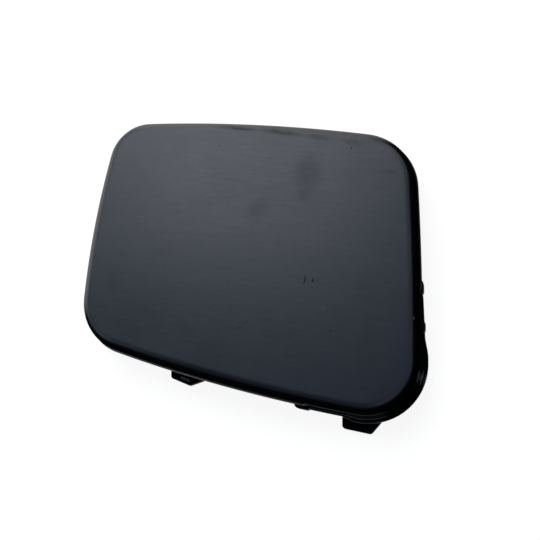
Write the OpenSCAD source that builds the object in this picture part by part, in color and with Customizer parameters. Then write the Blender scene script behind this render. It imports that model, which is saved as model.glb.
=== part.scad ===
// Bumper tow hook cover: one moulded cap that closes the towing eye opening of a bumper.
// X runs along the width, Y up the face and Z out of the face.
// The cover lies face up on the tips of its clips and on its right hook, all at Z = 0.

/* [Outline] */
// Length of the top edge between its corner points
top_w = 93.5; // [80:0.5:110]
// Length of the cover along X between its two bottom corner points
bottom_w = 103.5; // [90:0.5:120]
// Height of the left edge between its corner points
left_h = 69; // [60:0.5:80]
// Height of the right edge between its corner points
right_h = 81.5; // [72:0.5:95]
// How far the top left corner stands to the left of the bottom left one
left_lean = 1; // [0:0.5:4]
// Radius of the bottom left corner
corner_bl = 16; // [8:0.5:20]
// Radius of the bottom right corner
corner_br = 15; // [8:0.5:20]
// Radius of the top right corner
corner_tr = 16.5; // [8:0.5:20]
// Radius of the top left corner
corner_tl = 12; // [8:0.5:20]
// How far the bottom edge bows out between its corner points
bow_bottom = 2.8; // [1:0.1:5]
// How far the right edge bows out
bow_right = 1; // [0.5:0.1:3]
// How far the top edge bows out
bow_top = 1.7; // [0.5:0.1:3]
// How far the left edge bows out
bow_left = 1.8; // [0.5:0.1:3]

/* [Shell] */
// Radius of the gentle crown of the face
crown_r = 620; // [450:10:900]
// Thickness of the moulded skin and side wall
skin = 2.2; // [1.8:0.1:2.6]
// Radius of the edge that rolls the face into the side wall
edge_r = 3; // [2.6:0.1:4]
// Height of the side wall behind the rolled edge
wall_h = 3.4; // [3:0.1:6]
// How far the side wall spreads towards its rim
wall_draft = 0.1; // [0:0.05:0.3]
// Height of the bead round the rim
bead_h = 0.9; // [0.8:0.1:1.4]
// How far the bead stands out from the side wall
bead_out = 0.5; // [0.3:0.05:0.8]
// Radius of the fillet inside the rolled edge
inner_r = 1.2; // [0.6:0.1:2]

/* [Seat flange at the lower right corner] */
// Where the flange starts on the bottom edge, from the middle of that edge
flange_from = 19; // [12:0.5:24]
// Where it ends on the right edge, from the middle of that edge
flange_to = -2; // [-8:0.5:5]
// How far it stands out from the side wall round the corner
flange_out = 2; // [1.5:0.05:2.4]
// How far it stands out beside the corner
flange_side_out = 1.1; // [0.8:0.05:1.3]
// How far it stands out at its end on the right edge
flange_end_out = 0.65; // [0.55:0.05:0.9]
// Length over which it widens on the bottom edge, up to the corner
widen_bottom = 5; // [3:0.5:8]
// Distance from the corner at which it starts to widen on the right edge
widen_right = 8.5; // [7:0.5:12]
// Length over which it widens there
widen_right_len = 7; // [4:0.5:7]
// How deep it reaches behind the rim
flange_deep = 2.2; // [1.6:0.1:2.6]
// Length over which it rises out of the wall at each end
flange_rise = 2.8; // [2:0.1:4]
// How far the side wall is set in above it, which leaves a narrow shelf
recess_in = 0.6; // [0.3:0.1:0.8]
// Height of the recess below the rolled edge
recess_h = 1; // [0.8:0.1:1.4]

/* [Hooks on the bottom edge] */
// Thickness of the hook's leg and lip
hook_t = 2; // [1.6:0.1:2.4]
// Gap for the bumper skin between the seat of the cover and a lip or barb
skin_gap = 2.6; // [2:0.1:3.2]
// Place of the left hook, from the middle of the bottom edge
hook_left_at = -17.6; // [-24:0.2:-12]
// Width of the left hook at its root
hook_left_w = 10.4; // [8:0.2:12]
// How far the left hook's lip reaches past the side wall at its right corner
hook_left_reach = 3.1; // [2.6:0.1:4.5]
// How much less it reaches at its left corner
hook_left_fall = 0.6; // [0:0.1:1]
// Length of the slanted side of the left lip
hook_left_slant = 3.6; // [2:0.1:4.5]
// Place of the right hook, from the middle of the bottom edge
hook_right_at = 35.4; // [30:0.2:38]
// Width of the right hook at its root
hook_right_w = 11.2; // [9:0.2:13]
// How far the right hook's lip reaches past the side wall
hook_right_reach = 4.3; // [3.4:0.1:5.5]
// How much less it reaches at its left corner
hook_right_fall = 0.2; // [0:0.1:1]
// Length of the slanted side of the right lip
hook_right_slant = 2.2; // [1.4:0.1:4]
// How far the other side of a lip leans in
lip_inset = 0.6; // [0:0.1:1.2]
// Radius of the lips' outer corners
lip_r = 1.1; // [0.8:0.1:1.6]
// Height of the ridge on the left lip
ridge_h = 0.4; // [0.2:0.05:0.6]
// Width of the ridge
ridge_w = 0.7; // [0.5:0.05:1]
// Length of the ridge
ridge_l = 3.2; // [2:0.1:4]
// Distance of the ridge from the lip's outer edge
ridge_in = 1.3; // [1:0.1:1.6]

/* [Clips on the other edges] */
// Width of a spring clip
clip_w = 8; // [5:0.5:10]
// Thickness of its arm
clip_t = 1.6; // [1.2:0.1:2]
// Clearance between the arm and the side wall
clip_gap = 0.8; // [0.5:0.1:1.2]
// How far the barb of a clip reaches past the side wall
barb_out = 1; // [0.6:0.1:1.6]
// Place of the left clip on the top edge, from the middle of that edge
clip_top_left_at = 25; // [15:0.5:30]
// Place of the right clip on the top edge
clip_top_right_at = -24; // [-28:0.5:-15]
// Place of the clip on the left edge
clip_left_at = 2; // [-10:0.5:10]

/* [Ribs and stops] */
// Thickness of the ribs behind the face
rib_t = 1.3; // [1:0.1:1.8]
// Height of those ribs
rib_h = 2.6; // [1.5:0.1:3.2]
// Distance of the upright ribs from the middle of the face
rib_x = 17; // [10:0.5:24]
// Radius of the corners of the stops behind the rim
stop_r = 1.4; // [0.8:0.1:1.6]
// Place of the stop on the bottom edge, from the middle of that edge
stop_bottom_at = 19.2; // [14:0.2:24]
// Width of that stop
stop_bottom_w = 5; // [4:0.1:7]
// How far it stands out from the side wall
stop_bottom_out = 1.5; // [1.3:0.05:2]
// Place of the upper stop on the right edge
stop_right_at = -2.4; // [-5:0.2:4]
// Width of the upper stop
stop_right_w = 4.6; // [3.4:0.1:6]
// How far it stands out
stop_right_out = 1; // [0.9:0.05:1.5]
// Place of the lower stop on the right edge
stop_low_at = -13.6; // [-17:0.2:-9]
// Width of the lower stop
stop_low_w = 4.2; // [3.4:0.1:6]
// How far it stands out
stop_low_out = 1.3; // [1.2:0.05:1.6]

/* [Hidden] */
$fn = 48;

BOTTOM = 0;
RIGHT = 1;
TOP = 2;
LEFT = 3;
corner_steps = 10;
side_steps = 20;
flange_steps = 12;
rib_steps = 16;
lip_steps = 6;

// How far hooks, clips and gussets are rooted in the skin from behind.
root_in = 0.45;

bead_n = wall_draft + bead_out;
rim_dz = -(edge_r + wall_h);
flange_dz = rim_dz - flange_deep;

// The four corner points, counter-clockwise from the bottom left one.
corners = [
    [0, 0],
    [bottom_w, left_h - right_h],
    [top_w - left_lean, left_h],
    [-left_lean, left_h],
];
corner_radii = [corner_bl, corner_br, corner_tr, corner_tl];
bows = [bow_bottom, bow_right, bow_top, bow_left];

function unit(v) = v / norm(v);
function angle(v) = atan2(v[1], v[0]);
function polar(r, a) = r * [cos(a), sin(a)];
function next(i) = (i + 1) % 4;
function last(i) = (i + 3) % 4;

// Each edge is one wide arc through two corner points, bowed out by a known amount.
function side_r(i) =
    let (c = norm(corners[next(i)] - corners[i]))
    (c * c / 4 + bows[i] * bows[i]) / (2 * bows[i]);
function side_angle(i) = angle(corners[next(i)] - corners[i]) - 90;
function side_centre(i) =
    (corners[i] + corners[next(i)]) / 2 + polar(bows[i] - side_r(i), side_angle(i));

// A corner is an arc that touches the arcs of both its edges from inside.
function corner_centre(i) =
    let (
        a = side_centre(last(i)),
        b = side_centre(i),
        ra = side_r(last(i)) - corner_radii[i],
        rb = side_r(i) - corner_radii[i],
        d = norm(b - a),
        along = (ra * ra - rb * rb + d * d) / (2 * d),
        across = sqrt(max(0, ra * ra - along * along)),
        e = unit(b - a),
        foot = a + along * e,
        p = foot + across * [-e[1], e[0]],
        q = foot - across * [-e[1], e[0]]
    )
    norm(p - corners[i]) < norm(q - corners[i]) ? p : q;

function turn_to(a, from) = a < from ? a + 360 : a;
function corner_start(i) = angle(corner_centre(i) - side_centre(last(i)));
function corner_end(i) =
    turn_to(angle(corner_centre(i) - side_centre(i)), corner_start(i));
function side_turn(i) =
    let (a = angle(corner_centre(next(i)) - side_centre(i)) - corner_end(i))
    a - 360 * round(a / 360);

// A place on the outline is [x, y, direction of the outward normal].
function on_arc(c, r, a) = let (p = c + polar(r, a)) [p[0], p[1], a];
function side_place(i, d) =
    on_arc(side_centre(i), side_r(i), side_angle(i) + d / side_r(i) * 180 / PI);
outline = [
    for (i = [0:3])
        each concat(
            [
                for (k = [0:corner_steps - 1])
                    let (t = k / corner_steps)
                    on_arc(
                        corner_centre(i),
                        corner_radii[i],
                        corner_start(i) * (1 - t) + corner_end(i) * t
                    )
            ],
            [
                for (k = [0:side_steps - 1])
                    on_arc(
                        side_centre(i),
                        side_r(i),
                        corner_end(i) + side_turn(i) * k / side_steps
                    )
            ]
        )
];

// The flange round the lower right corner runs from the bottom edge, past the corner,
// to the right edge. Its share of the full size rises from nothing at both ends.
function flat(place) = [place[0], place[1]];
function hold(t) = min(1, max(0, t));
function ease(t) = let (u = hold(t)) u * u * (3 - 2 * u);
function side_d(i, a) =
    let (t = a - side_angle(i))
    (t - 360 * round(t / 360)) * side_r(i) * PI / 180;
function flange_share(place) =
    ease(min(
        side_d(BOTTOM, place[2]) - flange_from,
        flange_to - side_d(RIGHT, place[2])
    ) / flange_rise);
bottom_end_d = side_d(BOTTOM, corner_start(RIGHT));
right_start_d = side_d(RIGHT, corner_end(RIGHT));

// How far the full flange stands out: least at its end on the right edge, more beside
// the corner and most round the corner itself.
function flange_reach(place) =
    let (
        on_bottom = side_d(BOTTOM, place[2]) - bottom_end_d,
        on_right = side_d(RIGHT, place[2]) - right_start_d,
        way = hold((on_right - widen_right) / (flange_to - right_start_d - widen_right)),
        beside = flange_side_out * (1 - way) + flange_end_out * way,
        wide = min(
            ease((on_bottom + widen_bottom) / widen_bottom),
            ease((widen_right - on_right) / widen_right_len)
        )
    )
    beside * (1 - wide) + flange_out * wide;
flange_root = wall_draft - 0.25;
flange_places = concat(
    [for (k = [0:3]) side_place(BOTTOM, flange_from + flange_rise * k / 4)],
    [
        for (k = [0:flange_steps - 1])
            let (t = k / flange_steps)
            side_place(BOTTOM, (flange_from + flange_rise) * (1 - t) + bottom_end_d * t)
    ],
    [
        for (k = [0:corner_steps - 1])
            let (t = k / corner_steps)
            on_arc(
                corner_centre(RIGHT),
                corner_radii[RIGHT],
                corner_start(RIGHT) * (1 - t) + corner_end(RIGHT) * t
            )
    ],
    [
        for (k = [0:flange_steps - 1])
            let (t = k / flange_steps)
            side_place(RIGHT, right_start_d * (1 - t) + (flange_to - flange_rise) * t)
    ],
    [for (k = [4:-1:0]) side_place(RIGHT, flange_to - flange_rise * k / 4)]
);

// The arc that rounds the corner of two straight sides: its centre and its points.
function round_centre(before, p, after, r) =
    let (
        u = unit(before - p),
        v = unit(after - p)
    )
    p + unit(u + v) * r / sin(acos(u * v) / 2);
function round_corner(before, p, after, r) =
    let (
        u = unit(before - p),
        half = acos(u * unit(after - p)) / 2,
        centre = round_centre(before, p, after, r),
        start = angle(p + u * r / tan(half) - centre)
    )
    [for (k = [0:lip_steps]) centre + polar(r, start + (180 - 2 * half) * k / lip_steps)];

// The four corners of a lip past the wall: X points out of the cover, Y along its edge.
function lip_corners(w, reach, fall, slant) = [
    [bead_n, -w / 2],
    [reach - fall, -w / 2 + lip_inset],
    [reach, w / 2 - slant],
    [bead_n, w / 2],
];

// The middle of the cover with its flange and hooks, where the crown is highest.
hook_tip =
    let (
        p = side_place(BOTTOM, hook_right_at),
        q = lip_corners(hook_right_w, hook_right_reach, hook_right_fall, hook_right_slant),
        c = round_centre(q[1], q[2], q[3], lip_r)
    )
    p[1] + c[0] * sin(p[2]) + c[1] * cos(p[2]) - lip_r;
left_most =
    let (p = side_place(LEFT, clip_left_at))
    min(min([for (p = outline) p[0]]) - bead_n, p[0] + barb_out * cos(p[2]));
right_most = max([for (p = flange_places) p[0] + flange_reach(p) * cos(p[2])]);
top_most = max([for (p = outline) p[1]]) + bead_n;
middle = [(left_most + right_most) / 2, (hook_tip + top_most) / 2];

// How far the crowned face drops below its highest point, over a point of the plan.
function drop(p) = let (q = p - middle) q * q / (2 * crown_r);
function edge_drop(i, d) = drop(flat(side_place(i, d)));

// Depth at which the cover seats on the bumper at a place on an edge: at the rim,
// or at the underside of the flange where there is one.
function seat_depth(i, d) = flange_deep * flange_share(side_place(i, d)) - rim_dz;

// The deepest seat over a hook or clip of some width, measured from the crown's top.
function seat_drop(i, d, w) =
    max([for (e = [-w / 2, 0, w / 2]) edge_drop(i, d + e) + seat_depth(i, d + e)]);

// The lower hook's underside lies in the plane of the clips' tips, which sets the height.
total_h =
    max(
        seat_drop(BOTTOM, hook_left_at, hook_left_w),
        seat_drop(BOTTOM, hook_right_at, hook_right_w)
    ) + skin_gap + hook_t;

// Height of the crowned face over a point, and of a lip's or barb's catching face.
function crown_z(p) = total_h - drop(p);
function catch_z(i, d, w) = total_h - seat_drop(i, d, w) - skin_gap;

// A point at an offset out of the outline and a depth measured from the face.
function shell_point(place, out, dz) =
    let (p = flat(place) + polar(out, place[2]))
    [p[0], p[1], crown_z(p) + dz];

// The same, drawn in towards the middle of the face by a share.
function face_point(place, out, dz, share) =
    let (p = middle * (1 - share) + share * (flat(place) + polar(out, place[2])))
    [p[0], p[1], crown_z(p) + dz];

// The section of the shell as [offset from the outline, depth from the face, share]:
// first the face, then the rolled edge, wall and bead, then the inside.
bead_soft = 0.15;
face_rows = [for (s = [0.25, 0.5, 0.75]) [-edge_r, 0, s]];
roll = [for (a = [0:15:90]) [-edge_r * (1 - sin(a)), -edge_r * (1 - cos(a)), 1]];
bead_rows = concat(
    roll,
    [
        [wall_draft, rim_dz + bead_h, 1],
        [bead_n - bead_soft, rim_dz + bead_h, 1],
        [bead_n, rim_dz + bead_h - bead_soft, 1],
        [bead_n, rim_dz + bead_soft, 1],
        [bead_n - bead_soft, rim_dz, 1],
    ]
);
// Beside the flange the wall is set in under the roll and a shelf takes the bead's place.
shelf_dz = -edge_r - recess_h;
recess_rows = concat(
    [for (q = roll) [min(q[0], -recess_in), q[1], 1]],
    [
        [-recess_in, shelf_dz, 1],
        [wall_draft - bead_soft, shelf_dz - 0.05, 1],
        [wall_draft, shelf_dz - 0.05 - bead_soft, 1],
        [wall_draft, rim_dz + bead_soft, 1],
        [wall_draft - bead_soft, rim_dz, 1],
    ]
);
inner_rows = concat(
    [[-skin, rim_dz, 1]],
    [for (a = [90:-30:0]) [-skin - inner_r * (1 - sin(a)), -skin - inner_r * (1 - cos(a)), 1]],
    [for (s = [0.75, 0.5, 0.25]) [-skin - inner_r, -skin, s]]
);
function ring(row) = [for (p = outline) face_point(p, row[0], row[1], row[2])];
function outer_ring(k) =
    [
        for (p = outline)
            let (
                s = flange_share(p),
                row = bead_rows[k] * (1 - s) + recess_rows[k] * s
            )
            face_point(p, row[0], row[1], 1)
    ];

// Closes a stack of rings with a point at each end into one solid.
module ring_solid(rings, first_point, last_point) {
    n = len(rings[0]);
    m = len(rings);
    points = concat([for (r = rings) each r], [first_point, last_point]);
    start_cap = [for (k = [0:n - 1]) [m * n, (k + 1) % n, k]];
    end_cap = [for (k = [0:n - 1]) [m * n + 1, (m - 1) * n + k, (m - 1) * n + (k + 1) % n]];
    walls = [
        for (j = [0:m - 2], k = [0:n - 1])
            let (a = j * n + k, b = j * n + (k + 1) % n)
            each [[a, b, b + n], [a, b + n, a + n]]
    ];
    polyhedron(points, concat(start_cap, walls, end_cap), convexity = 8);
}

module shell() {
    ring_solid(
        concat(
            [for (row = face_rows) ring(row)],
            [for (k = [0:len(bead_rows) - 1]) outer_ring(k)],
            [for (row = inner_rows) ring(row)]
        ),
        [middle[0], middle[1], total_h],
        [middle[0], middle[1], total_h - skin]
    );
}

// Places its children on an edge: local X points out of the cover and Y runs along the edge.
module on_side(i, d) {
    p = side_place(i, d);
    translate([p[0], p[1], 0])
        rotate([0, 0, p[2]])
            children();
}

// Keeps what lies within the middle of the side wall.
module inside_wall() {
    intersection() {
        children();
        linear_extrude(total_h)
            polygon([for (p = outline) flat(p) - polar(skin / 2, p[2])]);
    }
}

// Height of the face at a place on an edge.
function edge_z(i, d) = crown_z(flat(side_place(i, d)));

// The stepped flange that seats the lower right corner behind the bumper.
// It grows out of the rim and sinks back into the wall under a stop at each end.
function flange_full(out) =
    let (step = (wall_draft + out) / 2)
    [
        [-skin + 0.45, rim_dz + 0.65],
        [step - 0.15, rim_dz + 0.4],
        [step, rim_dz + 0.2],
        [step, flange_dz + 1.15],
        [out - 0.2, flange_dz + 1.05],
        [out, flange_dz + 0.85],
        [out, flange_dz + 0.2],
        [out - 0.2, flange_dz],
        [-skin + 0.45, flange_dz],
    ];
function flange_hidden(s) =
    [min(s[0], flange_root), max(s[1], rim_dz + 0.2 + 0.1 * (s[1] - flange_dz))];
module seat_flange() {
    rings = [
        for (place = flange_places)
            let (
                s = flange_share(place),
                full = flange_full(flange_reach(place))
            )
            [
                for (k = [len(full) - 1:-1:0])
                    let (q = flange_hidden(full[k]) * (1 - s) + full[k] * s)
                    shell_point(place, q[0], q[1])
            ]
    ];
    first_ring = rings[0];
    last_ring = rings[len(rings) - 1];
    ring_solid(
        rings,
        (first_ring[0] + first_ring[5]) / 2,
        (last_ring[0] + last_ring[5]) / 2
    );
}

// A hook: a leg down from the inside of the wall, a lip at its end that reaches behind
// the bumper skin, and two gussets that tie the leg to the back of the face.
module hook(d, w, reach, fall, slant, ridge) {
    top = edge_z(BOTTOM, d);
    lip_z = catch_z(BOTTOM, d, w);
    foot = lip_z - hook_t;
    root = -skin - hook_t / 2;
    q = lip_corners(w, reach, fall, slant);
    inside_wall()
        on_side(BOTTOM, d)
            translate([root, -w / 2, foot])
                cube([hook_t, w, top - skin + root_in - foot]);
    on_side(BOTTOM, d) {
        translate([0, 0, foot])
            linear_extrude(hook_t)
                polygon(concat(
                    [[root, -w / 2], q[0]],
                    round_corner(q[0], q[1], q[2], lip_r),
                    round_corner(q[1], q[2], q[3], lip_r),
                    [q[3], [root, w / 2]]
                ));
        for (side = [-1, 1])
            translate([-skin - hook_t / 4, side * (w / 2 - rib_t), 0])
                rotate([90, 0, 0])
                    linear_extrude(rib_t, center = true)
                        polygon([
                            [0, foot],
                            [0, top - skin + root_in],
                            [-4 - hook_t, top - skin + 2 * root_in],
                            [-4 - hook_t, top - skin - rib_h],
                        ]);
        if (ridge)
            translate([(q[1][0] + q[2][0]) / 2 - ridge_in, 0, lip_z - 0.1])
                rotate([0, 0, angle(q[2] - q[1])])
                    ridge_bar();
    }
}

// A short raised ridge with rounded ends, parallel to the lip's outer edge.
module ridge_bar() {
    straight = ridge_l - ridge_w;
    linear_extrude(ridge_h + 0.1)
        union() {
            translate([-straight / 2, -ridge_w / 2])
                square([straight, ridge_w]);
            for (end = [-1, 1])
                translate([end * straight / 2, 0])
                    circle(d = ridge_w);
        }
}

// A spring clip: an arm that stands clear of the wall, with a barb that snaps
// behind the bumper skin and a foot that ties it to the back of the face.
module clip(i, d) {
    top = edge_z(i, d);
    arm = -skin - clip_gap;
    catch = catch_z(i, d, clip_w);
    on_side(i, d) {
        rotate([90, 0, 0])
            linear_extrude(clip_w, center = true)
                polygon([
                    [arm - clip_t, top - skin / 2],
                    [arm - clip_t, 0.4],
                    [arm - clip_t + 0.4, 0],
                    [arm - 0.4, 0],
                    [barb_out, catch - 1.1],
                    [barb_out, catch - 0.4],
                    [barb_out - 0.4, catch],
                    [arm, catch],
                    [arm, top - skin / 2],
                ]);
        for (side = [-1, 1])
            translate([0, side * (clip_w / 2 - rib_t), 0])
                rotate([90, 0, 0])
                    linear_extrude(rib_t, center = true)
                        polygon([
                            [arm - clip_t / 2, catch],
                            [arm - clip_t / 2, top - skin / 2],
                            [arm - clip_t - 4, top - skin / 2],
                            [arm - clip_t - 4, top - skin - rib_h],
                        ]);
    }
}

// A stop with rounded corners that bears on the bumper's edge behind the rim.
module stop(i, d, w, reach) {
    root = -skin + 0.3;
    on_side(i, d)
        translate([0, 0, edge_z(i, d) + flange_dz - 0.3])
            linear_extrude(-flange_dz + rim_dz + 0.3 + bead_h / 2)
                union() {
                    translate([root, -w / 2])
                        square([reach - stop_r - root, w]);
                    translate([root, stop_r - w / 2])
                        square([reach - root, w - 2 * stop_r]);
                    for (side = [-1, 1])
                        translate([reach - stop_r, side * (w / 2 - stop_r)])
                            circle(r = stop_r);
                }
}

// A rib whose upper edge lies in the skin and whose lower edge follows the crown.
module rib(x0, y0, x1, y1) {
    long = norm([x1 - x0, y1 - y0]);
    function at(t) = [x0 + (x1 - x0) * t, y0 + (y1 - y0) * t];
    translate([x0, y0, 0])
        rotate([0, 0, angle([x1 - x0, y1 - y0])])
            rotate([90, 0, 0])
                linear_extrude(rib_t, center = true)
                    polygon(concat(
                        [
                            for (k = [0:rib_steps])
                                let (t = k / rib_steps)
                                [t * long, crown_z(at(t)) - skin / 2]
                        ],
                        [
                            for (k = [rib_steps:-1:0])
                                let (t = k / rib_steps)
                                [t * long, crown_z(at(t)) - skin - rib_h]
                        ]
                    ));
}

// Two upright ribs and one across stiffen the face. They end inside the side wall.
module ribs() {
    reach = max(bottom_w, right_h);
    inside_wall()
        union() {
            for (x = [middle[0] - rib_x, middle[0] + rib_x])
                rib(x, middle[1] - reach, x, middle[1] + reach);
            rib(middle[0] - reach, middle[1], middle[0] + reach, middle[1]);
        }
}

module cover() {
    color([0.13, 0.14, 0.16])
        translate([-middle[0], -middle[1], 0]) {
            shell();
            seat_flange();
            ribs();
            hook(
                hook_left_at,
                hook_left_w,
                hook_left_reach,
                hook_left_fall,
                hook_left_slant,
                ridge = true
            );
            hook(
                hook_right_at,
                hook_right_w,
                hook_right_reach,
                hook_right_fall,
                hook_right_slant,
                ridge = false
            );
            clip(TOP, clip_top_left_at);
            clip(TOP, clip_top_right_at);
            clip(LEFT, clip_left_at);
            stop(BOTTOM, stop_bottom_at, stop_bottom_w, stop_bottom_out);
            stop(RIGHT, stop_right_at, stop_right_w, stop_right_out);
            stop(RIGHT, stop_low_at, stop_low_w, stop_low_out);
        }
}

cover();
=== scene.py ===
"""The bumper tow hook cover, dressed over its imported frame.

The sizes of the parts are the source's own, in millimetres. Every surface is worked
out as whole numpy arrays in the source's plan, where the bottom left corner point is
the zero, and is then moved so that the middle of the cover stands over the frame's
zero.
"""

import bpy
import numpy as np
from mathutils import Matrix


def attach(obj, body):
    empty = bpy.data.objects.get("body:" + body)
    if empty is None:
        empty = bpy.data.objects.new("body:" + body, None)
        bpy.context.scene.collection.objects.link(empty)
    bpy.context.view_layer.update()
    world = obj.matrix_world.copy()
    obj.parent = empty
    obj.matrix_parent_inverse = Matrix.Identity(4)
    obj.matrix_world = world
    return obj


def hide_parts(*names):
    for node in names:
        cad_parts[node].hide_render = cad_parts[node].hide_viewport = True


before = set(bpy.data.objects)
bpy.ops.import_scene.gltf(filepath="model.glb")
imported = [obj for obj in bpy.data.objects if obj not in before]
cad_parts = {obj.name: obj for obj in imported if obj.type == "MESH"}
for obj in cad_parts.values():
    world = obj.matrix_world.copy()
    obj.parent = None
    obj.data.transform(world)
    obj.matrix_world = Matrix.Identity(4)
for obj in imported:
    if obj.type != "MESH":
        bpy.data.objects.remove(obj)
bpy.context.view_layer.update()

MM = 0.001
BOTTOM, RIGHT, TOP, LEFT = range(4)

# Outline
TOP_W, BOTTOM_W, LEFT_H, RIGHT_H, LEFT_LEAN = 93.5, 103.5, 69.0, 81.5, 1.0
CORNER_R = np.array([16.0, 15.0, 16.5, 12.0])
BOW = np.array([2.8, 1.0, 1.7, 1.8])

# Shell
CROWN_R = 620.0
SKIN = 2.2
EDGE_R = 3.0
WALL_H = 3.4
WALL_DRAFT = 0.1
BEAD_H = 0.9
BEAD_OUT = 0.5
INNER_R = 1.2

# Seat flange
FLANGE_FROM = 19.0
FLANGE_TO = -2.0
FLANGE_OUT = 2.0
FLANGE_SIDE_OUT = 1.1
FLANGE_END_OUT = 0.65
WIDEN_BOTTOM = 5.0
WIDEN_RIGHT = 8.5
WIDEN_RIGHT_LEN = 7.0
FLANGE_DEEP = 2.2
FLANGE_RISE = 2.8
RECESS_IN = 0.6
RECESS_H = 1.0

# Hooks and clips
HOOK_T = 2.0
SKIN_GAP = 2.6
HOOK_LEFT = dict(at=-17.6, w=10.4, reach=3.1, fall=0.6, slant=3.6)
HOOK_RIGHT = dict(at=35.4, w=11.2, reach=4.3, fall=0.2, slant=2.2)
LIP_INSET = 0.6
LIP_R = 1.1
RIDGE_H = 0.4
RIDGE_W = 0.7
RIDGE_L = 3.2
RIDGE_IN = 1.3
CLIP_W = 8.0
CLIP_T = 1.6
CLIP_GAP = 0.8
BARB_OUT = 1.0
CLIPS = [(TOP, 25.0), (TOP, -24.0), (LEFT, 2.0)]
ROOT_IN = 0.45
LIP_BACK_R = 0.3
BARB_H = 1.1
CLIP_TIP = 0.4
CLIP_RADII = [0, 0.4, 0.2, 0.2, 0.25, 0.3, 0]
GUSSET_L = 4.0

# Ribs and stops
RIB_T = 1.3
RIB_H = 2.6
RIB_X = 17.0
STOP_R = 1.4
STOPS = [(BOTTOM, 19.2, 5.0, 1.5), (RIGHT, -2.4, 4.6, 1.0), (RIGHT, -13.6, 4.2, 1.3)]
STOP_ROOT = 0.3
STOP_DEEPER = 0.3

# Offset of the bead, and depths of the rim and of the flange's foot from the face
BEAD_N = WALL_DRAFT + BEAD_OUT
RIM_DZ = -(EDGE_R + WALL_H)
FLANGE_DZ = RIM_DZ - FLANGE_DEEP

# Corner points of the plan
CORNER = np.array(
    [
        [0.0, 0.0],
        [BOTTOM_W, LEFT_H - RIGHT_H],
        [TOP_W - LEFT_LEAN, LEFT_H],
        [-LEFT_LEAN, LEFT_H],
    ]
)

# Steps of the surfaces. Shares of the way out from the middle are first, last, number.
CORNER_STEPS, EDGE_STEPS = 36, 120
FACE_SHARES = (0.06, 0.98, 16)
ROLL_STEPS = 31
WALL_STEPS = 6
INNER_STEPS = 9
BACK_SHARES = (0.94, 0.06, 12)
FLANGE_STEPS, FLANGE_END_STEPS = 44, 15
SMALL_ARC_STEPS, PLAN_ARC_STEPS = 4, 8
LEG_STEPS, RIB_STEPS = 25, 33
RIB_OUTLINE = (30, 64)

# Fine roundings that the solid leaves out
LEDGE_FALL = 0.05
TURN_R = 0.1
BEAD_R = 0.4
SHELF_R = 0.2
RIM_R, RIM_IN_R = 0.18, 0.2
HOOK_SOFT = 0.2
CLIP_SOFT = 0.15
THIN_SOFT = 0.12
SOFT_TURNS = [0, 30, 60, 90]
MITRE_LEAST = 0.4
SHARP_FROM = 32.0

# Slight steps that keep faces of joined pieces from lying in one plane
LEG_UP = 0.01
GUSSET_UP = 0.05
RIDGE_DOWN = 0.1

# A hook's wall is looked for no further in than this
WALL_WITHIN = 15

# Flange profile, and the flat one hidden in the wall at the flange's ends
FLANGE_ROOT = 0.45
FLANGE_ROOT_UP = 0.65
FLANGE_TOP_UP = 0.35
FLANGE_BEVEL = 0.15
FLANGE_STEP_H = 1.1
FLANGE_RADII = [0.12, 0.05, 0.1, 0.2, 0.2]
HIDDEN_IN = 0.25
HIDDEN_FLAT = 0.1

# Colours
DARK = (0.0053, 0.0112, 0.0218, 1)
PALE = (0.0078, 0.0147, 0.026, 1)
# Painted shade: the near black that walls, hooks and the back take where the sheen falls
PAINTED_SHADE_BLACK = (0.0025, 0.003, 0.004, 1)
SMUDGE = (0.002, 0.002, 0.003, 1)
NICK = (0.16, 0.13, 0.12, 1)
# Painted highlight: the light grey of thin light lines painted on ledges, hooks and the ridge
PAINTED_LIGHT_GREY = (0.07, 0.078, 0.09, 1)

# Satin finish. Pattern sizes are in metres along x, y and z, and noise scales in
# turns a metre.
ROUGH = 0.42
GLOSS = 0.4
STREAK_SIZE = (0.007, 0.0005, 0.01)
MOTTLE_SIZE = (0.0022, 0.0007, 0.01)
PATCH_SCALE = 38.0
GRAIN_SCALE = 5200.0
STREAK_GLOSS = (0.93, 1.07)
MOTTLE_GLOSS = (0.95, 1.05)
ROUGH_LESS, ROUGH_MORE = 0.02, 0.03
DULL_ROUGH = 0.2
BUMP_STRENGTH = 0.25
BUMP_DEPTH = 0.00003
STREAK_BUMP = 0.3

# Sheen is the share of the full gloss and colour that a place keeps: where it is low the
# colour turns to black, painted shade, and where it is raised on ledges it is a painted
# highlight. The painted light share is how much of the light grey of painted highlight
# lines a place takes
BACK_SHEEN = 0.35
GUSSET_SHEEN = 0.4
HOOK_SHEEN = 0.05
LEDGE_SHEEN = 0.8
FLANGE_SHEEN = 0.3
RIDGE_SHEEN = 1.0
HOOK_PAINTED_LIGHT, CLIP_PAINTED_LIGHT, STOP_PAINTED_LIGHT, RIDGE_PAINTED_LIGHT = 0.15, 0.1, 0.2, 0.8
SHELF_DIMMER = 0.8

# Where a ledge starts and ends: under and over its edge, and in from its wall
LEDGE_DEEP, LEDGE_OVER, SHELF_IN = 0.4, 0.03, 0.35
STEP_LEDGE_UP, STEP_LEDGE_IN = 0.6, 0.1

# The sheen's fall round the roll: the turn in degrees at which it starts, from 0 on the
# face to 90 on the wall, and over how many degrees it runs. The fall is painted shade,
# later on the lit upper left than on the right and below, and the right edge's rise
# before it is a painted highlight
LIT_FADE = (70.0, 40.0)
RIGHT_FADE = (15.0, 17.0)
BELOW_FADE = (-4.0, 40.0)
RIGHT_EDGE, RIGHT_EDGE_TURN = 1.2, 16.0
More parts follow.
